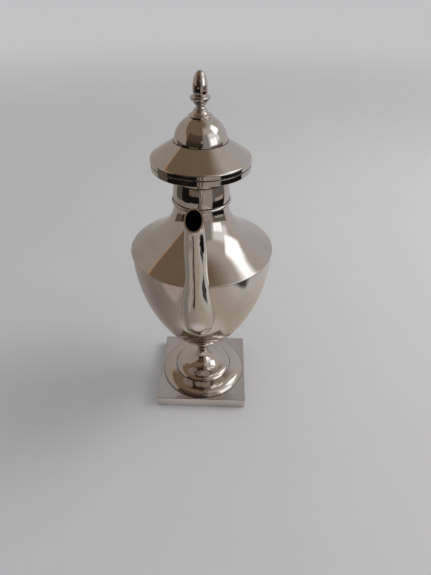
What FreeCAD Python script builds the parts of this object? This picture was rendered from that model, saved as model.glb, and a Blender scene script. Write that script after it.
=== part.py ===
import FreeCAD, Part
import math
import os
from FreeCAD import Vector

# Urn-shaped coffee pot in spun metal: a square plinth, a trumpet foot, an egg-shaped bowl, a concave
# shoulder, a short neck with a wide rim, a hinged lid with an acorn finial, a drop-shaped spout and a
# wooden handle. Millimetres. +Z is up, the origin is the middle of the underside, and the spout points
# along -Y.

# Sheet metal and fits
sheet = 1.0
edge_round = 0.35
fit_gap = 0.1
lid_gap = 0.3
running_gap = 0.05

# Plinth
plinth_side = 85.0
plinth_height = 10.8
plinth_wall = 1.2
plinth_edge_round = 0.5
base_plate_thickness = 1.5

# Foot
foot_margin = 1.7
foot_rim_height = 0.7
foot_roll_lean = 24.0
foot_roll_slope = 11.0
foot_crease_radius = 27.2
foot_crease_height = 7.2
foot_bell_lean = 24.0
foot_bell_radius = 16.0
foot_bell_height = 12.2
foot_bell_slope = 22.0
foot_height = 28.2
stem_radius = 5.0

# Collar under the bowl, and the rod that ties the base to the bowl
collar_radius = 6.3
collar_height = 5.0
collar_bead = 1.5
collar_flare_angle = 45.0
rod_radius = 2.5
rod_end = 1.5
washer_radius = 6.5
washer_thickness = 1.0
nut_flats = 8.0
nut_height = 4.0

# Bowl
bowl_radius = 57.4
bowl_depth = 115.5
bowl_bottom_pull = 6.0
bowl_side_pull = 75.0

# Shoulder
shoulder_overhang = 0.8
shoulder_edge = 1.1
shoulder_edge_round = 0.4
shoulder_rise = 42.0
shoulder_edge_slope = 30.0
shoulder_pull = 0.35
skirt_depth = 3.0

# Neck, its bead and the rim
neck_base_radius = 21.5
neck_top_radius = 20.2
neck_height = 17.0
neck_foot_lean = 4.0
neck_top_lean = 11.0
bead_radius = 1.5
rim_radius = 36.9
rim_flare = 9.1
rim_slope = 12.0
rim_pull = 0.5
rim_edge_round = 0.5
rim_band = 4.25
rim_land = 2.5

# Lid
lid_band = 3.45
brim_edge_round = 0.9
brim_rise = 11.4
dome_radius = 19.4
dome_height = 17.8
dome_seat = 0.3
bezel_depth = 3.4

# Hinge
hinge_radius = 2.0
hinge_pin_radius = 0.9
hinge_width = 18.0
hinge_gap = 0.25
hinge_knuckles = 5

# Finial
finial_base_radius = 8.3
finial_stem_radius = 3.1
finial_ring_radius = 4.8
cup_radius = 6.9
pedestal_height = 14.2
acorn_radius = 5.2
acorn_height = 14.8
acorn_crown = 11.2
acorn_foot_share = 0.88
acorn_foot_lean = 15.0
acorn_side_pull = 0.5
acorn_tip_pull = 0.235
stud_radius = 1.5
stud_nut_flats = 5.5
stud_nut_height = 2.4
stud_washer_radius = 4.5
stud_washer_thickness = 1.0
# The turned pedestal from its base up: radius, share of its height, and the angles at which its side
# leaves the level below and arrives here
pedestal_turning = [
    (finial_base_radius, 0.06, 90, 90),
    (finial_base_radius - 0.9, 0.12, 90, 170),
    (finial_ring_radius, 0.31, 150, 110),
    (finial_ring_radius - 0.4, 0.37, 60, 150),
    (finial_stem_radius, 0.50, 170, 90),
    (finial_ring_radius - 0.3, 0.59, 90, 10),
    (finial_ring_radius - 0.3, 0.67, 30, 150),
    (acorn_radius - 1.0, 0.70, 140, 120),
    (cup_radius, 0.83, 15, 80),
    (cup_radius - 0.2, 0.94, 70, 120),
    (acorn_radius, 1.00, 150, 160),
]

# Spout
spout_wall = 1.0
spout_root_drop = 60.0
spout_belly_drop = 27.0
spout_belly_width = 25.6
spout_belly_depth = 32.0
spout_throat_rise = 10.0
spout_throat_width = 18.1
spout_throat_gap = 2.2
spout_lip_width = 11.8
spout_lip_depth = 15.5
spout_lip_reach = 24.4
spout_lip_drop = 3.8
spout_lip_tilt = 42.0
spout_root_share = 0.3
spout_root_sink = 8.8
spout_flank_width_share = 0.8
spout_flank_depth_share = 0.75
spout_flank_sink = 2.0
spout_flank_drop = 5.0
spout_belly_stand = 1.2
spout_nape_width_share = 0.9
spout_nape_depth_share = 0.72
spout_nape_stand = 2.5
spout_nape_drop = 3.0
spout_throat_lean = 4.0
spout_tip_share = 0.4
port_width = 17.0
port_height = 28.0
strainer_thickness = 0.6
strainer_lap = 2.5
strainer_hole_radius = 1.1
strainer_pitch = 4.2
# Ovals above the throat: shares of the way out, of the rise and of the slimming in width and in depth,
# and the lean in degrees
spout_upper = [
    (0.20, 0.35, 0.5, 0.5, 6.0),
    (0.56, 0.78, 0.8, 1.0, 12.0),
    (0.72, 0.90, 1.0, 1.1, 28.0),
]

# Handle
handle_width = 9.4
handle_depth = 12.4
handle_end_width = 8.4
handle_end_depth = 10.0
handle_reach = 33.0
handle_upper_tilt = 14.0
handle_lower_tilt = 12.0
handle_lower_drop = 16.0
socket_length = 12.0
socket_wall = 1.0
socket_flare = 1.4
socket_waist = 0.2
tenon_length = 8.0
handle_pin_radius = 0.9
handle_pin_stand = 0.2
handle_upper_pull = 1.15
handle_lower_pull = 1.75
handle_sections = 10

# Heights and radii that follow from the sizes above
plinth_top = plinth_height
stem_top = plinth_top + foot_height
bowl_bottom = stem_top + collar_height
bowl_top = bowl_bottom + bowl_depth
shoulder_edge_radius = bowl_radius + shoulder_overhang
shoulder_top = bowl_top + shoulder_edge + shoulder_rise
neck_top = shoulder_top + neck_height
rim_low = neck_top + rim_flare
rim_top = rim_low + rim_band
lid_low = rim_top + lid_gap
brim_edge = lid_low + lid_band
dome_low = brim_edge + brim_rise
dome_top = dome_low + dome_height
dome_sphere_radius = (dome_radius ** 2 + dome_height ** 2) / (2 * dome_height)
dome_centre = dome_top - dome_sphere_radius
foot_rim_radius = plinth_side / 2 - foot_margin
hinge_y = rim_radius + hinge_radius + lid_gap
hinge_z = (rim_top + lid_low) / 2
far = 4 * (plinth_side + bowl_radius)

up = Vector(0, 0, 1)
origin = Vector(0, 0, 0)


class Outline:
    """A line in the plane of radius and height, drawn from point to point."""

    def __init__(self, radius, height):
        self.start = Vector(radius, 0, height)
        self.here = self.start
        self.edges = []

    def line(self, radius, height):
        there = Vector(radius, 0, height)
        self.edges.append(Part.LineSegment(self.here, there).toShape())
        self.here = there
        return self

    def arc(self, radius, height, bulge):
        """An arc that stands off its chord by the bulge, to the right of the way it is drawn."""
        there = Vector(radius, 0, height)
        chord = there - self.here
        side = Vector(chord.z, 0, -chord.x).normalize()
        middle = (self.here + there) * 0.5 + side * bulge
        self.edges.append(Part.Arc(self.here, middle, there).toShape())
        self.here = there
        return self

    def curve(self, radius, height, leave, arrive, pull=0.4, end_pull=None):
        """A smooth curve that leaves and arrives at these angles above the outward direction."""
        there = Vector(radius, 0, height)
        chord = (there - self.here).Length
        start_pole = self.here + heading(leave) * (pull * chord)
        end_pole = there - heading(arrive) * ((end_pull or pull) * chord)
        bezier = Part.BezierCurve()
        bezier.setPoles([self.here, start_pole, end_pole, there])
        self.edges.append(bezier.toShape())
        self.here = there
        return self

    def corner(self, radius, height, arrive, leave, size):
        """A rounded corner between two straight sides, cut back by the size along both."""
        start = Vector(radius, 0, height) - heading(arrive) * size
        end = Vector(radius, 0, height) + heading(leave) * size
        return self.line(start.x, start.z).curve(end.x, end.z, arrive, leave)

    def wire(self):
        return Part.Wire(self.edges)

    def spin(self):
        """The solid that the outline makes when it is closed and turned about the pot's axis."""
        if (self.here - self.start).Length > 1e-6:
            self.line(self.start.x, self.start.z)
        return spun(self.wire())


def heading(degrees):
    angle = math.radians(degrees)
    return Vector(math.cos(angle), 0, math.sin(angle))


def inset_corner(radius, height, arrive, leave, inset):
    """A corner of a line moved inwards: the line arrives and leaves at these angles, inside on its left."""
    first = heading(arrive - 90)
    second = heading(leave - 90)
    moved = Vector(radius, 0, height) - (first + second) * (inset / (1 + first.dot(second)))
    return moved.x, moved.z


def spun(wire):
    return Part.Face(wire).revolve(origin, up, 360)


def spun_wall(outer, inner):
    """Sheet metal spun between an outer and an inner line that are drawn the same way."""
    edges = outer.edges + inner.edges
    edges.append(Part.LineSegment(outer.start, inner.start).toShape())
    edges.append(Part.LineSegment(outer.here, inner.here).toShape())
    return spun(Part.Wire(Part.__sortEdges__(edges)))


def cylinder(radius, low, high):
    return Part.makeCylinder(radius, high - low, Vector(0, 0, low), up)


def cross_pin(radius, length, middle):
    """A cylinder along X."""
    return Part.makeCylinder(radius, length, middle - Vector(length / 2, 0, 0), Vector(1, 0, 0))


def hexagon(flats, low, height):
    corner = flats / math.sqrt(3)
    turns = [math.radians(60 * side) for side in range(7)]
    points = [Vector(corner * math.cos(turn), corner * math.sin(turn), low) for turn in turns]
    return Part.Face(Part.makePolygon(points)).extrude(Vector(0, 0, height))


def oval(middle, half_width, half_depth, along):
    """An oval across a path in the YZ plane, half_width along X, square to the way along."""
    across = Vector(1, 0, 0)
    deep = along.cross(across)
    turns = [math.radians(angle) for angle in range(0, 360, 30)]
    points = [middle + across * half_width * math.cos(t) + deep * half_depth * math.sin(t) for t in turns]
    ring = Part.BSplineCurve()
    ring.interpolate(Points=points, PeriodicFlag=True)
    return Part.Wire(ring.toShape())


# Plinth and base

def square_block(side, height):
    return Part.makeBox(side, side, height, Vector(-side / 2, -side / 2, 0))


def make_plinth():
    block = square_block(plinth_side, plinth_height)
    outer = [edge for edge in block.Edges if edge.BoundBox.ZMax > plinth_height / 2]
    block = block.makeFillet(plinth_edge_round, outer)
    block = block.cut(square_block(plinth_side - 2 * plinth_wall, plinth_height - plinth_wall))
    return block.cut(cylinder(rod_radius + fit_gap, 0, plinth_top))


def make_base_plate():
    return square_block(plinth_side - 2 * plinth_wall - 2 * fit_gap, base_plate_thickness)


def foot_line(inset):
    """The foot's side, this far inside its outer surface: rim, roll, crease, bell and trumpet."""
    roll = 90 + foot_roll_lean
    roll_end = 180 - foot_roll_slope
    bell = 90 + foot_bell_lean
    slope = 180 - foot_bell_slope
    rim_height = plinth_top + foot_rim_height
    line = Outline(foot_rim_radius - inset, plinth_top)
    line.line(*inset_corner(foot_rim_radius, rim_height, 90, roll, inset))
    crease = inset_corner(foot_crease_radius, plinth_top + foot_crease_height, roll_end, bell, inset)
    line.curve(*crease, roll, roll_end)
    bell_top = inset_corner(foot_bell_radius, plinth_top + foot_bell_height, slope, slope, inset)
    line.curve(*bell_top, bell, slope)
    line.curve(stem_radius - inset, stem_top, slope, 90)
    return line


def make_foot():
    return spun_wall(foot_line(0), foot_line(sheet))


def make_collar():
    bead_low = bowl_bottom - collar_bead
    bore = rod_radius + fit_gap
    shape = Outline(bore, stem_top)
    shape.line(stem_radius, stem_top)
    shape.curve(collar_radius - collar_bead / 2, bead_low, 90, collar_flare_angle)
    shape.arc(collar_radius - collar_bead / 2, bowl_bottom, collar_bead / 2)
    shape.line(collar_radius - collar_bead / 2, bowl_bottom + collar_height)
    shape.line(bore, bowl_bottom + collar_height)
    return shape.spin().cut(bowl_body(0))


def make_tie_rod():
    low = base_plate_thickness + rod_end
    return cylinder(rod_radius, low, bowl_top).cut(bowl_body(0)).Solids[0]


def make_base_washer():
    top = plinth_top - plinth_wall
    washer = cylinder(washer_radius, top - washer_thickness, top)
    return washer.cut(cylinder(rod_radius + fit_gap, 0, top))


def make_base_nut():
    top = plinth_top - plinth_wall - washer_thickness
    nut = hexagon(nut_flats, top - nut_height, nut_height)
    return nut.cut(cylinder(rod_radius + running_gap, 0, top))


# Bowl and shoulder

def bowl_curve(inset):
    """The bowl's side from its lowest point to its rim, this far inside its outer surface."""
    low = bowl_bottom + inset
    wide = bowl_radius - inset
    curve = Part.BezierCurve()
    curve.setPoles([Vector(0, 0, low), Vector(bowl_bottom_pull, 0, low),
                    Vector(wide, 0, bowl_top - bowl_side_pull), Vector(wide, 0, bowl_top)])
    return curve


def bowl_body(depth):
    """The solid inside the bowl's side, this depth under its outer surface."""
    line = Outline(0, bowl_bottom + depth)
    line.edges.append(bowl_curve(depth).toShape())
    line.here = Vector(bowl_radius - depth, 0, bowl_top)
    return line.line(0, bowl_top).spin()


def radius_at(height):
    """The bowl's outer radius at a height."""
    level = Part.Line(Vector(0, 0, height), Vector(1, 0, height))
    return bowl_curve(0).intersectCC(level)[0].X


def spout_port(lap):
    """The upright oval bar that cuts the way into the spout, made larger all round by the lap."""
    middle = Vector(0, 0, bowl_top - spout_belly_drop)
    outline = oval(middle, port_width / 2 + lap, port_height / 2 + lap, Vector(0, -1, 0))
    return Part.Face(outline).extrude(Vector(0, -far, 0))


def make_bowl():
    return bowl_body(0).cut(bowl_body(sheet)).cut(spout_port(0))


def make_strainer():
    plate = bowl_body(sheet).cut(bowl_body(sheet + strainer_thickness)).common(spout_port(strainer_lap))
    row_step = strainer_pitch * math.sqrt(3) / 2
    half_width = port_width / 2 - strainer_hole_radius
    half_height = port_height / 2 - strainer_hole_radius
    rows = int(half_height / row_step)
    columns = int(half_width / strainer_pitch)
    holes = []
    for row in range(-rows, rows + 1):
        for column in range(-columns - 1, columns + 1):
            x = (column + (row % 2) / 2) * strainer_pitch
            z = row * row_step
            if (x / half_width) ** 2 + (z / half_height) ** 2 < 1:
                middle = Vector(x, 0, bowl_top - spout_belly_drop + z)
                holes.append(Part.makeCylinder(strainer_hole_radius, far, middle, Vector(0, -1, 0)))
    return plate.cut(Part.makeCompound(holes))


def shoulder_sweep(line, inset):
    """The concave sweep from the shoulder's edge to the neck, added to a line that ends at the edge."""
    top = shoulder_top - 2 * bead_radius
    line.curve(neck_base_radius - inset, top, 180 - shoulder_edge_slope, 90, shoulder_pull)
    return line.line(neck_base_radius - inset, shoulder_top)


def make_shoulder():
    edge_top = bowl_top + shoulder_edge
    skirt_radius = bowl_radius - sheet - fit_gap
    drop = sheet / math.cos(math.radians(shoulder_edge_slope))
    slope = 180 - shoulder_edge_slope
    outer = Outline(0, bowl_top).corner(shoulder_edge_radius, bowl_top, 0, 90, shoulder_edge_round)
    outer = outer.corner(shoulder_edge_radius, edge_top, 90, slope, shoulder_edge_round)
    body = shoulder_sweep(outer, 0).line(0, shoulder_top).spin()
    inner = Outline(0, bowl_top - far).line(shoulder_edge_radius, bowl_top - far)
    inner = inner.line(shoulder_edge_radius, edge_top - drop)
    room = shoulder_sweep(inner, sheet).line(0, shoulder_top).spin()
    room = room.common(cylinder(skirt_radius - sheet, bowl_top - far, shoulder_top))
    skirt = cylinder(skirt_radius, bowl_top - skirt_depth, bowl_top)
    return body.fuse(skirt).cut(room).removeSplitter()


# Neck and rim

def neck_line(inset):
    """The neck's side, swelling slightly above its foot and drawing in towards the rim."""
    line = Outline(neck_base_radius - inset, shoulder_top)
    return line.curve(neck_top_radius - inset, neck_top, 90 - neck_foot_lean, 90 + neck_top_lean)


def make_neck():
    return spun_wall(neck_line(0), neck_line(sheet))


def make_neck_ring():
    shape = Outline(neck_base_radius, shoulder_top - bead_radius)
    shape.arc(neck_base_radius, shoulder_top + bead_radius, bead_radius)
    return shape.spin().cut(make_neck())


def make_rim_flange():
    outer = Outline(neck_top_radius, neck_top)
    outer.curve(rim_radius - rim_edge_round, rim_low, 90, rim_slope, rim_pull)
    outer.curve(rim_radius, rim_low + rim_edge_round, rim_slope, 90)
    outer.corner(rim_radius, rim_top, 90, 180, edge_round)
    inner = Outline(neck_top_radius - sheet, neck_top)
    inner.curve(rim_radius - sheet, rim_low + sheet, 90, rim_slope, rim_pull)
    inner.line(rim_radius - sheet, rim_top - sheet)
    inner.line(rim_radius - rim_land, rim_top - sheet)
    inner.line(rim_radius - rim_land, rim_top)
    return spun_wall(outer, inner)


# Spout

def spout_stations():
    """Ovals up the spout: reach from the axis, height, half width, half depth and lean."""
    root = bowl_top - spout_root_drop
    belly = bowl_top - spout_belly_drop
    throat = bowl_top + spout_throat_rise
    lip = rim_top - spout_lip_drop
    half_belly = spout_belly_width / 2
    deep_belly = spout_belly_depth / 2
    half_throat = spout_throat_width / 2
    half_lip = spout_lip_width / 2
    slim = half_throat - half_lip
    root_reach = radius_at(root) - spout_root_sink
    belly_reach = radius_at(belly) + spout_belly_stand
    throat_reach = shoulder_edge_radius + spout_throat_gap + half_throat
    lip_reach = bowl_radius + spout_lip_reach
    flank_reach = (root_reach + belly_reach) / 2 - spout_flank_sink
    flank = (root + belly) / 2 - spout_flank_drop
    nape_reach = (belly_reach + throat_reach) / 2 + spout_nape_stand
    nape = (belly + throat) / 2 - spout_nape_drop
    stations = [
        (root_reach, root, spout_root_share * half_belly, spout_root_share * deep_belly, 0),
        (flank_reach, flank, spout_flank_width_share * half_belly, spout_flank_depth_share * deep_belly, 0),
        (belly_reach, belly, half_belly, deep_belly, 0),
        (nape_reach, nape, spout_nape_width_share * half_belly, spout_nape_depth_share * deep_belly, 0),
        (throat_reach, throat, half_throat, half_throat, spout_throat_lean),
    ]
    for out, rise, slim_width, slim_depth, lean in spout_upper:
        reach = throat_reach + out * (lip_reach - throat_reach)
        height = throat + rise * (lip - throat)
        half_width = half_throat - slim_width * slim
        half_depth = half_throat - slim_depth * slim
        stations.append((reach, height, half_width, half_depth, lean))
    stations.append((lip_reach, lip, half_lip, spout_lip_depth / 2, spout_lip_tilt))
    return stations


def spout_loft(inset):
    sections = []
    for reach, height, half_width, half_depth, lean in spout_stations():
        angle = math.radians(lean)
        along = Vector(0, -math.sin(angle), math.cos(angle))
        sections.append(oval(Vector(0, -reach, height), half_width - inset, half_depth - inset, along))
    return Part.makeLoft(sections, True, False)


def whole_spout():
    spout = spout_loft(0).cut(spout_loft(spout_wall)).cut(bowl_body(0))
    return max(spout.Solids, key=lambda solid: solid.Volume)


def above_tip_joint():
    """The space above the level where the spout's tip is soldered on."""
    throat = bowl_top + spout_throat_rise
    joint = throat + spout_tip_share * (rim_top - spout_lip_drop - throat)
    return Part.makeBox(2 * far, 2 * far, far, Vector(-far, -far, joint))


def make_spout():
    return whole_spout().cut(above_tip_joint())


def make_spout_tip():
    return whole_spout().common(above_tip_joint())


# Handle

def handle_ends():
    """Where each socket starts on the pot, and the way it points."""
    upper_height = shoulder_top + neck_height / 2
    lower_height = bowl_top - handle_lower_drop
    upper_tilt = math.radians(handle_upper_tilt)
    lower_tilt = math.radians(handle_lower_tilt)
    upper = Vector(0, (neck_base_radius + neck_top_radius) / 2, upper_height)
    lower = Vector(0, radius_at(lower_height), lower_height)
    upper_way = Vector(0, math.cos(upper_tilt), math.sin(upper_tilt))
    lower_way = Vector(0, math.cos(lower_tilt), math.sin(lower_tilt))
    return (upper, upper_way), (lower, lower_way)


def handle_tenon(start, way, clearance):
    mouth = start + way * socket_length
    half_width = handle_end_width / 2 - socket_wall + clearance
    half_depth = handle_end_depth / 2 - socket_wall + clearance
    back = way * -(tenon_length + clearance)
    return Part.Face(oval(mouth, half_width, half_depth, way)).extrude(back)


def handle_pin(start, way, clearance):
    middle = start + way * (socket_length - tenon_length / 2)
    length = handle_end_width + 2 * clearance + 2 * handle_pin_stand
    return cross_pin(handle_pin_radius + clearance, length, middle)


def make_handle():
    (upper, upper_way), (lower, lower_way) = handle_ends()
    top = upper + upper_way * socket_length
    foot = lower + lower_way * socket_length
    outermost = bowl_radius + handle_reach
    path = Part.BezierCurve()
    upper_pull = (outermost - top.y) * handle_upper_pull
    lower_pull = (outermost - foot.y) * handle_lower_pull
    path.setPoles([top, top + upper_way * upper_pull, foot + lower_way * lower_pull, foot])
    sections = []
    for section in range(handle_sections + 1):
        share = section / handle_sections
        swell = math.sin(math.pi * share)
        half_width = (handle_end_width + (handle_width - handle_end_width) * swell) / 2
        half_depth = (handle_end_depth + (handle_depth - handle_end_depth) * swell) / 2
        sections.append(oval(path.value(share), half_width, half_depth, path.tangent(share)[0]))
    grip = Part.makeLoft(sections, True, False)
    for start, way in handle_ends():
        grip = grip.fuse(handle_tenon(start, way, 0))
        grip = grip.cut(handle_pin(start, way, fit_gap))
    return grip


def make_socket(start, way, pot):
    mouth = start + way * socket_length
    waist = start + way * (socket_length / 2)
    seat = start - way * (2 * sheet)
    half_width = handle_end_width / 2
    half_depth = handle_end_depth / 2
    sections = [
        oval(mouth, half_width, half_depth, way),
        oval(waist, half_width - socket_waist, half_depth - socket_waist, way),
        oval(seat, half_width + socket_flare, half_depth + socket_flare, way),
    ]
    socket = Part.makeLoft(sections, True, False)
    socket = socket.cut(handle_tenon(start, way, fit_gap)).cut(handle_pin(start, way, fit_gap))
    for piece in pot:
        socket = socket.cut(piece)
    return max(socket.Solids, key=lambda solid: solid.Volume)


def make_upper_socket():
    neck_body = neck_line(0).line(0, neck_top).line(0, shoulder_top).spin()
    start, way = handle_ends()[0]
    return make_socket(start, way, [neck_body, make_neck_ring(), make_rim_flange()])


def make_lower_socket():
    start, way = handle_ends()[1]
    return make_socket(start, way, [bowl_body(0), make_shoulder()])


def make_handle_pins():
    return Part.makeCompound([handle_pin(start, way, 0) for start, way in handle_ends()])


# Lid

def brim_slope():
    return brim_rise / (rim_radius - dome_radius - dome_seat)


def brim_under(radius):
    """Height of the brim's underside at a radius."""
    return brim_edge + (rim_radius - radius) * brim_slope() - sheet * math.hypot(1, brim_slope())


def make_lid_brim():
    hole = dome_radius - 2 * sheet
    lean = math.degrees(math.atan(brim_slope()))
    outer = Outline(rim_radius - edge_round, lid_low).curve(rim_radius, lid_low + edge_round, 0, 90)
    outer.corner(rim_radius, brim_edge, 90, 180 - lean, brim_edge_round)
    outer.line(dome_radius + dome_seat, dome_low)
    outer.line(hole, dome_low)
    turn = rim_radius - (dome_low - sheet - brim_under(rim_radius)) / brim_slope()
    inner = Outline(rim_radius - sheet, lid_low).line(rim_radius - sheet, brim_under(rim_radius - sheet))
    inner.line(turn, dome_low - sheet)
    inner.line(hole, dome_low - sheet)
    return spun_wall(outer, inner)


def make_lid_bezel():
    outer = rim_radius - rim_land - lid_gap
    inner = outer - sheet
    low = rim_top - bezel_depth
    shape = Outline(outer, low).line(outer, brim_under(outer))
    return shape.line(inner, brim_under(inner)).line(inner, low).spin()


def dome_body(depth):
    ball = Part.makeSphere(dome_sphere_radius - depth, Vector(0, 0, dome_centre))
    return ball.common(cylinder(far, dome_low, dome_top + far))


def make_lid_dome():
    return dome_body(0).cut(dome_body(sheet)).cut(cylinder(stud_radius + fit_gap, dome_low, dome_top + far))


def finial_low():
    """Height of the edge where the finial's base meets the dome."""
    return dome_centre + math.sqrt(dome_sphere_radius ** 2 - finial_base_radius ** 2)


def make_pedestal():
    low = finial_low()
    bore = stud_radius + fit_gap
    shape = Outline(bore, low - sheet).line(finial_base_radius, low - sheet)
    for radius, share, leave, arrive in pedestal_turning:
        shape.curve(radius, low + share * pedestal_height, leave, arrive)
    shape.line(bore, low + pedestal_height)
    return shape.spin().cut(dome_body(0))


def acorn_belly():
    """Height of the acorn's widest level."""
    return finial_low() + pedestal_height + acorn_height - acorn_crown


def make_acorn():
    low = finial_low() + pedestal_height
    shape = Outline(0, low).line(acorn_radius * acorn_foot_share, low)
    shape.curve(acorn_radius, acorn_belly(), 90 - acorn_foot_lean, 90)
    shape.curve(0, low + acorn_height, 90, 180, acorn_side_pull, acorn_tip_pull)
    return shape.spin().cut(cylinder(stud_radius + fit_gap, 0, acorn_belly() + fit_gap))


def stud_washer_top():
    return dome_centre + math.sqrt((dome_sphere_radius - sheet) ** 2 - stud_washer_radius ** 2)


def make_finial_stud():
    low = stud_washer_top() - stud_washer_thickness - stud_nut_height - stud_radius
    return cylinder(stud_radius, low, acorn_belly())


def make_finial_washer():
    washer = cylinder(stud_washer_radius, stud_washer_top() - stud_washer_thickness, dome_top)
    washer = washer.common(dome_body(sheet))
    return washer.cut(cylinder(stud_radius + fit_gap, dome_low, dome_top))


def make_finial_nut():
    top = stud_washer_top() - stud_washer_thickness
    nut = hexagon(stud_nut_flats, top - stud_nut_height, stud_nut_height)
    return nut.cut(cylinder(stud_radius + running_gap, dome_low - far, dome_top))


# Hinge

def knuckle_spans(first):
    """The X spans of every other knuckle, from the first one on."""
    pitch = hinge_width / hinge_knuckles
    spans = []
    for knuckle in range(first, hinge_knuckles, 2):
        low = -hinge_width / 2 + knuckle * pitch
        spans.append((low + hinge_gap / 2, low + pitch - hinge_gap / 2))
    return spans


def barrels(spans, radius, margin):
    made = []
    for low, high in spans:
        middle = Vector((low + high) / 2, hinge_y, hinge_z)
        made.append(cross_pin(radius, high - low + 2 * margin, middle))
    return made


def hinge_leaf(low, high, own, other):
    """A leaf that hugs the rim between two heights and carries its own knuckles."""
    width = hinge_width - hinge_gap
    depth = hinge_y - rim_radius / 2
    leaf = Part.makeBox(width, depth, high - low, Vector(-width / 2, hinge_y - depth, low))
    leaf = leaf.cut(cylinder(rim_radius, low, high))
    for barrel in barrels(other, hinge_radius + hinge_gap, hinge_gap):
        leaf = leaf.cut(barrel)
    for barrel in barrels(own, hinge_radius, 0):
        leaf = leaf.fuse(barrel)
    bore = cross_pin(hinge_pin_radius + running_gap, 2 * hinge_width, Vector(0, hinge_y, hinge_z))
    return leaf.cut(bore).removeSplitter()


def make_pot_leaf():
    return hinge_leaf(rim_low + lid_gap, rim_top, knuckle_spans(0), knuckle_spans(1))


def make_lid_leaf():
    return hinge_leaf(lid_low, brim_edge - lid_gap, knuckle_spans(1), knuckle_spans(0))


def make_hinge_pin():
    return cross_pin(hinge_pin_radius, hinge_width + 2 * hinge_gap, Vector(0, hinge_y, hinge_z))


pieces = {
    "plinth": make_plinth,
    "base_plate": make_base_plate,
    "foot": make_foot,
    "stem_collar": make_collar,
    "tie_rod": make_tie_rod,
    "base_washer": make_base_washer,
    "base_nut": make_base_nut,
    "bowl": make_bowl,
    "shoulder": make_shoulder,
    "neck_ring": make_neck_ring,
    "neck": make_neck,
    "rim_flange": make_rim_flange,
    "spout": make_spout,
    "spout_tip": make_spout_tip,
    "spout_strainer": make_strainer,
    "handle": make_handle,
    "upper_handle_socket": make_upper_socket,
    "lower_handle_socket": make_lower_socket,
    "handle_pins": make_handle_pins,
    "hinge_pot_leaf": make_pot_leaf,
    "hinge_pin": make_hinge_pin,
    "hinge_lid_leaf": make_lid_leaf,
    "lid_brim": make_lid_brim,
    "lid_bezel": make_lid_bezel,
    "lid_dome": make_lid_dome,
    "finial_pedestal": make_pedestal,
    "finial_acorn": make_acorn,
    "finial_stud": make_finial_stud,
    "finial_washer": make_finial_washer,
    "finial_nut": make_finial_nut,
}

os.makedirs("parts", exist_ok=True)
for name, make in pieces.items():
    shape = make()
    print(f"{name}: {len(shape.Solids)} solids, valid {shape.isValid()}, volume {shape.Volume:.1f}")
    shape.exportStep(f"parts/{name}.step")
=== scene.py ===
import math

import bmesh
import bpy
from mathutils import Matrix, Vector

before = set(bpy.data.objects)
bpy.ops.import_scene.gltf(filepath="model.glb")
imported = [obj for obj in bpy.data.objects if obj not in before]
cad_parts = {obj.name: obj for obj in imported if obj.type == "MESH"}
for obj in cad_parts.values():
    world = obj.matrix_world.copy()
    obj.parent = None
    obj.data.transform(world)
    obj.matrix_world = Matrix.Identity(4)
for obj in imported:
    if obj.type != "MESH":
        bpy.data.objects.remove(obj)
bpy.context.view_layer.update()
scene = bpy.context.scene
scene.view_settings.view_transform = "Standard"


# Camera

photo_width = 431
photo_height = 575
focal_pixels = 431.1
sensor = 36.0
nearest_seen = 0.01
camera_place = Vector((0.01757, -0.3037, 0.3544))
camera_turn = math.radians(1.1)
camera_drop = math.radians(38.18)
camera_roll = math.radians(0.73)


def make_camera():
    data = bpy.data.cameras.new("camera")
    data.sensor_width = sensor
    data.lens = focal_pixels * sensor / max(photo_width, photo_height)
    data.clip_start = nearest_seen
    ahead = Vector((-math.sin(camera_turn) * math.cos(camera_drop),
                    math.cos(camera_turn) * math.cos(camera_drop), -math.sin(camera_drop)))
    right = Vector((math.cos(camera_turn), math.sin(camera_turn), 0))
    above = right.cross(ahead)
    tilted_right = right * math.cos(camera_roll) + above * math.sin(camera_roll)
    tilted_above = above * math.cos(camera_roll) - right * math.sin(camera_roll)
    camera = bpy.data.objects.new("camera", data)
    turn = Matrix((tilted_right, tilted_above, -ahead)).transposed()
    camera.matrix_world = Matrix.Translation(camera_place) @ turn.to_4x4()
    scene.collection.objects.link(camera)
    scene.camera = camera


make_camera()


# Node trees

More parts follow.
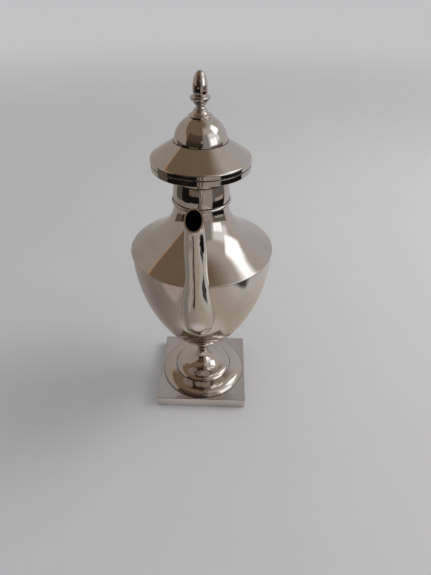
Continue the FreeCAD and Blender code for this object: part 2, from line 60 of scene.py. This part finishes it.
class Tree:
    """A node tree that is written one node at a time."""

    def __init__(self, material):
        self.nodes = material.node_tree.nodes
        self.links = material.node_tree.links

    def add(self, kind, settings=None, **inputs):
        made = self.nodes.new(kind)
        for name, value in (settings or {}).items():
            setattr(made, name, value)
        for name, value in inputs.items():
            self.feed(made, name.replace("_", " "), value)
        return made

    def feed(self, made, name, value):
        socket = made.inputs[int(name)] if name.isdigit() else made.inputs[name]
        if isinstance(value, bpy.types.NodeSocket):
            self.links.new(value, socket)
        else:
            socket.default_value = value

    def maths(self, operation, *values):
        made = self.nodes.new("ShaderNodeMath")
        made.operation = operation
        for place, value in enumerate(values):
            self.feed(made, str(place), value)
        return made.outputs[0]

    def vectors(self, operation, *values):
        made = self.add("ShaderNodeVectorMath", {"operation": operation})
        for place, value in enumerate(values):
            self.feed(made, str(place), value)
        return made.outputs

    def fade(self, value, start, end, low=0.0, high=1.0):
        """A value that goes smoothly from low to high while the given one goes from start to end."""
        made = self.add("ShaderNodeMapRange", {"interpolation_type": "SMOOTHSTEP"}, Value=value)
        made.inputs["From Min"].default_value = start
        made.inputs["From Max"].default_value = end
        made.inputs["To Min"].default_value = low
        made.inputs["To Max"].default_value = high
        return made.outputs["Result"]

    def strip(self, value, low, high, soft):
        """One between low and high, falling smoothly to nothing beyond them."""
        return self.maths("MULTIPLY", self.fade(value, low - soft, low),
                          self.fade(value, high + soft, high))

    def blend(self, share, first, second):
        made = self.add("ShaderNodeMix", {"data_type": "RGBA"})
        self.feed(made, "Factor", share)
        for socket, value in ((made.inputs[6], first), (made.inputs[7], second)):
            if isinstance(value, bpy.types.NodeSocket):
                self.links.new(value, socket)
            else:
                socket.default_value = (*value, 1)
        return made.outputs[2]

    def noise(self, place, scale, detail=3.0, roughness=0.5):
        made = self.add("ShaderNodeTexNoise", Vector=place, Scale=scale, Detail=detail,
                        Roughness=roughness)
        return made.outputs["Fac"]

    def stretched(self, place, across, along, above):
        made = self.add("ShaderNodeMapping", Vector=place)
        made.inputs["Scale"].default_value = (across, along, above)
        return made.outputs["Vector"]

    def split(self, place):
        return self.add("ShaderNodeSeparateXYZ", Vector=place).outputs


def new_finish(name):
    material = bpy.data.materials.new(name)
    material.use_nodes = True
    tree = Tree(material)
    shader = tree.nodes["Principled BSDF"]
    place = tree.add("ShaderNodeTexCoord").outputs["Object"]
    return material, tree, shader, place


# Finishes of the pot

plate_bright = (0.635, 0.59, 0.55)
plate_tarnished = (0.575, 0.525, 0.475)
plate_speck = (0.16, 0.13, 0.11)
seam_shade_and_dirt = (0.045, 0.036, 0.030)
seam_dirt_roughness = 0.25
plinth_bright = (0.61, 0.575, 0.555)
plinth_dulled = (0.53, 0.49, 0.465)
wood_dark = (0.012, 0.008, 0.006)
wood_light = (0.055, 0.033, 0.02)
wood_figure = (0.03, 0.018, 0.012)
brass_bright = (0.72, 0.56, 0.30)
brass_dull = (0.56, 0.42, 0.22)

# Seams darkened by painted shade in the creases and by the old polish and grime that stay there: distance
# from the axis, height and spread
shade_and_grime_seams = [
    (0.0408, 0.0110, 0.0011),
    (0.0272, 0.0180, 0.0006),
    (0.0050, 0.0390, 0.0007),
    (0.0063, 0.0440, 0.0009),
    (0.0574, 0.1595, 0.0010),
    (0.0220, 0.2010, 0.0006),
    (0.0217, 0.2042, 0.0006),
    (0.0205, 0.2196, 0.0008),
    (0.0369, 0.2331, 0.0006),
    (0.0194, 0.2481, 0.0006),
    (0.0083, 0.2659, 0.0006),
    (0.0052, 0.2801, 0.0006),
]
seam_core = 0.3  # share of a seam's spread that is fully darkened by painted shade and grime


def seam_grime(tree, place):
    """How much painted crease shade and old polish lies here: most along the seams, broken up along their
    length.
    """
    across, along, above = tree.split(place)
    squares = tree.maths("ADD", tree.maths("MULTIPLY", across, across),
                         tree.maths("MULTIPLY", along, along))
    profile = tree.add("ShaderNodeCombineXYZ", X=tree.maths("SQRT", squares), Y=above).outputs[0]
    shade_and_grime = 0.0
    for out, height, spread in shade_and_grime_seams:
        away = tree.vectors("DISTANCE", profile, Vector((out, height, 0)))["Value"]
        shade_and_grime = tree.maths("MAXIMUM", shade_and_grime, tree.fade(away, spread, seam_core * spread))
    broken = tree.fade(tree.noise(place, scale=160.0), 0.3, 0.55, low=0.4, high=0.95)
    return tree.maths("MULTIPLY", shade_and_grime, broken)


def polished_plate():
    """Worn bright plate over spun metal: clouds of tarnish, wipe marks, specks, seams darkened by painted
    shade and grime, and a slight ripple."""
    material, tree, shader, place = new_finish("polished_plate")
    clouds = tree.noise(place, scale=38.0, detail=4.0, roughness=0.55)
    upright = tree.stretched(place, across=1.0, along=1.0, above=0.25)
    wiped = tree.noise(upright, scale=190.0, detail=5.0, roughness=0.6)
    specks = tree.noise(place, scale=420.0, detail=2.0)
    tint = tree.blend(tree.fade(clouds, 0.35, 0.75), plate_bright, plate_tarnished)
    tint = tree.blend(tree.fade(specks, 0.735, 0.79, high=0.5), tint, plate_speck)
    shade_and_grime = seam_grime(tree, place)
    # the seams get painted crease shade together with real grime
    tint = tree.blend(shade_and_grime, tint, seam_shade_and_dirt)
    tree.feed(shader, "Base Color", tint)
    shader.inputs["Metallic"].default_value = 1.0
    dull = tree.maths("ADD", clouds, tree.maths("MULTIPLY", wiped, 0.5))
    dull = tree.fade(dull, 0.5, 1.1, low=0.03, high=0.09)
    dull = tree.maths("ADD", dull, tree.maths("MULTIPLY", shade_and_grime, seam_dirt_roughness))
    tree.feed(shader, "Roughness", dull)
    ripple = tree.noise(place, scale=55.0, detail=1.0)
    bump = tree.add("ShaderNodeBump", Strength=0.05, Distance=0.002, Height=ripple)
    tree.feed(shader, "Normal", bump.outputs["Normal"])
    return material


def satin_plate():
    """The plinth's plate, dulled by handling and by dust."""
    material, tree, shader, place = new_finish("satin_plate")
    clouds = tree.noise(place, scale=60.0, detail=5.0, roughness=0.6)
    tint = tree.blend(tree.fade(clouds, 0.3, 0.75), plinth_bright, plinth_dulled)
    tree.feed(shader, "Base Color", tint)
    shader.inputs["Metallic"].default_value = 1.0
    tree.feed(shader, "Roughness", tree.fade(clouds, 0.3, 0.8, low=0.10, high=0.19))
    return material


def dark_wood():
    """Ebonised hardwood with a fine straight grain under a worn oil finish."""
    material, tree, shader, place = new_finish("dark_wood")
    upright = tree.stretched(place, across=1.0, along=1.0, above=0.08)
    grain = tree.noise(upright, scale=700.0, detail=4.0, roughness=0.6)
    figure = tree.noise(place, scale=70.0)
    tint = tree.blend(tree.fade(grain, 0.35, 0.7), wood_dark, wood_light)
    tint = tree.blend(tree.fade(figure, 0.4, 0.8, high=0.6), tint, wood_figure)
    tree.feed(shader, "Base Color", tint)
    tree.feed(shader, "Roughness", tree.fade(grain, 0.3, 0.8, low=0.26, high=0.42))
    bump = tree.add("ShaderNodeBump", Strength=0.15, Distance=0.0004, Height=grain)
    tree.feed(shader, "Normal", bump.outputs["Normal"])
    return material


def plain_metal():
    """Turned brass of the pins, the rod and the nuts."""
    material, tree, shader, place = new_finish("plain_metal")
    clouds = tree.noise(place, scale=200.0, detail=4.0, roughness=0.6)
    tree.feed(shader, "Base Color", tree.blend(clouds, brass_bright, brass_dull))
    shader.inputs["Metallic"].default_value = 1.0
    tree.feed(shader, "Roughness", tree.fade(clouds, 0.3, 0.8, low=0.2, high=0.35))
    return material


finishes = {
    "polished_plate": polished_plate(),
    "satin_plate": satin_plate(),
    "dark_wood": dark_wood(),
    "plain_metal": plain_metal(),
}

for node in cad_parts.values():
    for slot in node.material_slots:
        slot.material = finishes[slot.material.name]


# Floor, surroundings and light

floor_reach = 60.0
floor_corners = [(-floor_reach, -floor_reach), (floor_reach, -floor_reach),
                 (floor_reach, floor_reach), (-floor_reach, floor_reach)]
floor_pale = (0.60, 0.597, 0.60)
floor_palest = (0.63, 0.627, 0.628)
floor_roughness = 0.6
floor_fade_start = 0.4
floor_fade_end = 2.2
backdrop_colour = (0.80, 0.80, 0.81, 1)
backdrop_strength = 0.67

mirrored_corners = [(-0.50, -0.10), (-0.30, -0.42), (0.00, -0.53), (0.13, -0.42), (0.265, -0.20),
                    (0.265, 0.174), (-0.50, 0.174)]
mirrored_rise = 0.0001
# Colours of the floor that the metal mirrors, with painted light and shade
mirrored_left = (0.43, 0.395, 0.365)
mirrored_middle = (0.585, 0.51, 0.435)
mirrored_right = (0.70, 0.69, 0.68)
gleam_colour = (0.68, 0.58, 0.54)
painted_dark_streak_colour = (0.09, 0.07, 0.06)
painted_shade_colour = (0.035, 0.030, 0.027)
bright_spot = (0, -0.06, 0)
bright_spot_colour = (0.84, 0.80, 0.77)

# What the metal mirrors around it. A pane has a left and a right side, a low and a high side and a soft
# border, all in degrees, counted from straight in front and from level, and a colour.
surround_radius = 8.0
side_left = (0.363, 0.332, 0.308)
side_right = (0.515, 0.50, 0.52)
top_left = (0.195, 0.142, 0.098)
top_right = (0.27, 0.22, 0.175)
top_lean = (0.485, -0.505, 0.713)  # points from the pale sides to the warm top
top_border = (0.47, 0.32, 0.20)
front_high = (0.10, 0.068, 0.05)
front_low = (0.04, 0.028, 0.022)
front_block = (0.36, 0.33, 0.31)
front_pane = (-57.0, 8.0, -90.0, 42.0, 7.0)
beyond_floor = (0.010, 0.008, 0.007)
right_panes = [
    (30.0, 140.0, -90.0, 60.0, 20.0, (0.52, 0.485, 0.45)),
]
near_panes = [
    (17.0, 35.0, -90.0, 45.0, 5.0, (0.30, 0.28, 0.265)),
    (-105.0, 24.0, -90.0, -4.0, 6.0, beyond_floor),
    (-108.0, -80.0, -28.0, -4.0, 4.0, (0.11, 0.09, 0.075)),
    (24.0, 104.0, -90.0, -4.0, 5.0, (0.15, 0.135, 0.125)),
    (24.0, 104.0, -90.0, -22.0, 5.0, beyond_floor),
    (9.0, 45.0, -30.0, -4.0, 4.0, (0.36, 0.315, 0.28)),
    (58.0, 96.0, -19.0, -15.0, 1.5, (0.44, 0.385, 0.34)),
    (-44.0, -8.0, -7.5, -4.0, 2.0, (0.17, 0.13, 0.10)),
    (50.0, 88.0, 16.0, 38.0, 12.0, (0.95, 0.96, 0.99)),
    (48.0, 74.0, 4.0, 22.0, 6.0, (1.6, 1.63, 1.7)),
    (86.0, 111.0, 35.0, 53.0, 8.0, (1.85, 1.88, 1.95)),
]


def hide(thing, *rays):
    for ray in rays:
        setattr(thing, "visible_" + ray, False)


def floor_finish():
    """Pale and plain, going over into the backdrop far from the pot, for the eye alone."""
    material, tree, shader, place = new_finish("floor")
    mottle = tree.noise(place, scale=9.0, detail=4.0)
    tint = tree.blend(mottle, floor_pale, floor_palest)
    far = tree.fade(tree.vectors("LENGTH", place)["Value"], floor_fade_start, floor_fade_end)
    seen = tree.add("ShaderNodeLightPath").outputs["Is Camera Ray"]
    faded = tree.maths("MULTIPLY", far, seen)
    tree.feed(shader, "Base Color", tree.blend(faded, tint, (0.0, 0.0, 0.0)))
    shader.inputs["Emission Color"].default_value = backdrop_colour
    tree.feed(shader, "Emission Strength", tree.maths("MULTIPLY", faded, backdrop_strength))
    shader.inputs["Roughness"].default_value = floor_roughness
    shader.inputs["Specular IOR Level"].default_value = 0.0
    return material


def mirrored_floor_finish():
    """The floor as the metal shows it, in painted light and shade: painted shade on the left, painted
    light on the right and close in front, with a painted gleam and a painted dark streak in front on the
    left and a patch of painted shade in front on the right."""
    material, tree, shader, place = new_finish("mirrored_floor")
    across, along, _ = tree.split(place)
    # painted shade on the left, painted light on the right
    tint = tree.blend(tree.fade(across, -0.16, 0.06), mirrored_left, mirrored_middle)
    tint = tree.blend(tree.fade(across, 0.08, 0.22), tint, mirrored_right)
    gleam = tree.maths("MULTIPLY", tree.strip(across, -0.21, -0.115, soft=0.02),
                       tree.strip(along, -0.26, -0.14, soft=0.03))
    tint = tree.blend(gleam, tint, gleam_colour)
    # a painted dark streak in front on the left
    painted_dark_streak = tree.maths("MULTIPLY", tree.strip(across, -0.075, -0.04, soft=0.014),
                        tree.fade(along, -0.19, -0.215))
    tint = tree.blend(painted_dark_streak, tint, painted_dark_streak_colour)
    # a patch of painted shade in front on the right, which the bowl mirrors under the shoulder
    painted_shade_patch = tree.maths("MULTIPLY", tree.fade(across, 0.184, 0.216),
                      tree.strip(along, -0.20, -0.085, soft=0.05))
    tint = tree.blend(painted_shade_patch, tint, painted_shade_colour)
    away = tree.vectors("DISTANCE", place, Vector(bright_spot))["Value"]
    tint = tree.blend(tree.fade(away, 0.08, 0.03), tint, bright_spot_colour)
    tree.feed(shader, "Base Color", tint)
    shader.inputs["Roughness"].default_value = floor_roughness
    return material


def surround_finish():
    """Pale sides and back, a warm top, a dark front and bright panes on the right, lit from within."""
    material = bpy.data.materials.new("surround")
    material.use_nodes = True
    tree = Tree(material)
    tree.nodes.remove(tree.nodes["Principled BSDF"])
    way = tree.vectors("NORMALIZE", tree.add("ShaderNodeTexCoord").outputs["Object"])[0]
    across, along, above = tree.split(way)
    turn = tree.maths("DEGREES", tree.maths("ARCTAN2", across, tree.maths("MULTIPLY", along, -1.0)))
    rise = tree.maths("DEGREES", tree.maths("ARCSINE", above))

    def with_pane(room, left, right, low, high, soft, colour):
        share = tree.maths("MULTIPLY", tree.strip(turn, left, right, soft),
                           tree.strip(rise, low, high, soft))
        return tree.blend(share, room, colour)

    sides = tree.blend(tree.fade(across, -0.7, 0.7), side_left, side_right)
    room = tree.blend(tree.fade(across, 0.0, 0.6), top_left, top_right)
    for pane in right_panes:
        room = with_pane(room, *pane)
    edge = tree.vectors("DOT_PRODUCT", way, Vector(top_lean))["Value"]
    room = tree.blend(tree.fade(edge, 0.10, 0.07), room, top_border)
    room = tree.blend(tree.fade(edge, 0.06, 0.03), room, sides)
    room = tree.blend(tree.fade(along, 0.48, 0.60), room, sides)
    front = tree.blend(tree.fade(rise, 30.0, 5.0), front_high, front_low)
    blocks = tree.noise(tree.stretched(way, across=1.0, along=1.0, above=0.5), scale=3.0, detail=1.0)
    blocks = tree.maths("MULTIPLY", tree.fade(blocks, 0.66, 0.68), tree.fade(rise, 26.0, 20.0))
    front = tree.blend(blocks, front, front_block)
    room = with_pane(room, *front_pane, front)
    for pane in near_panes:
        room = with_pane(room, *pane)
    glow = tree.add("ShaderNodeEmission", Color=room, Strength=1.0)
    tree.links.new(glow.outputs[0], tree.nodes["Material Output"].inputs["Surface"])
    return material


def make_stage_piece(name, shape, finish):
    mesh = bpy.data.meshes.new(name)
    shape.to_mesh(mesh)
    shape.free()
    mesh.materials.append(finish)
    piece = bpy.data.objects.new(name, mesh)
    scene.collection.objects.link(piece)
    return piece


def make_floor(name, finish, corners, height):
    shape = bmesh.new()
    shape.faces.new([shape.verts.new((x, y, height)) for x, y in corners])
    return make_stage_piece(name, shape, finish)


def make_surround():
    shape = bmesh.new()
    bmesh.ops.create_uvsphere(shape, u_segments=32, v_segments=16, radius=surround_radius)
    return make_stage_piece("surround", shape, surround_finish())


def make_world():
    world = bpy.data.worlds.new("world")
    world.use_nodes = True
    scene.world = world
    backdrop = world.node_tree.nodes["Background"]
    backdrop.inputs["Color"].default_value = backdrop_colour
    backdrop.inputs["Strength"].default_value = backdrop_strength


def make_lamp(name, place, aim, width, height, power):
    data = bpy.data.lights.new(name, "AREA")
    data.shape = "RECTANGLE"
    data.size = width
    data.size_y = height
    data.energy = power
    lamp = bpy.data.objects.new(name, data)
    lamp.location = place
    lamp.rotation_euler = (Vector(aim) - Vector(place)).to_track_quat("-Z", "Y").to_euler()
    scene.collection.objects.link(lamp)
    return lamp


floor = make_floor("floor", floor_finish(), floor_corners, 0.0)
hide(floor, "glossy")
mirrored = make_floor("mirrored_floor", mirrored_floor_finish(), mirrored_corners, mirrored_rise)
hide(mirrored, "camera", "diffuse", "shadow")
hide(make_surround(), "camera", "diffuse", "shadow")
make_world()
lamp = make_lamp("right_lamp", place=(1.0, 0.22, 0.95), aim=(0, 0, 0.15), width=0.7, height=0.8, power=8.0)
hide(lamp, "camera", "glossy")
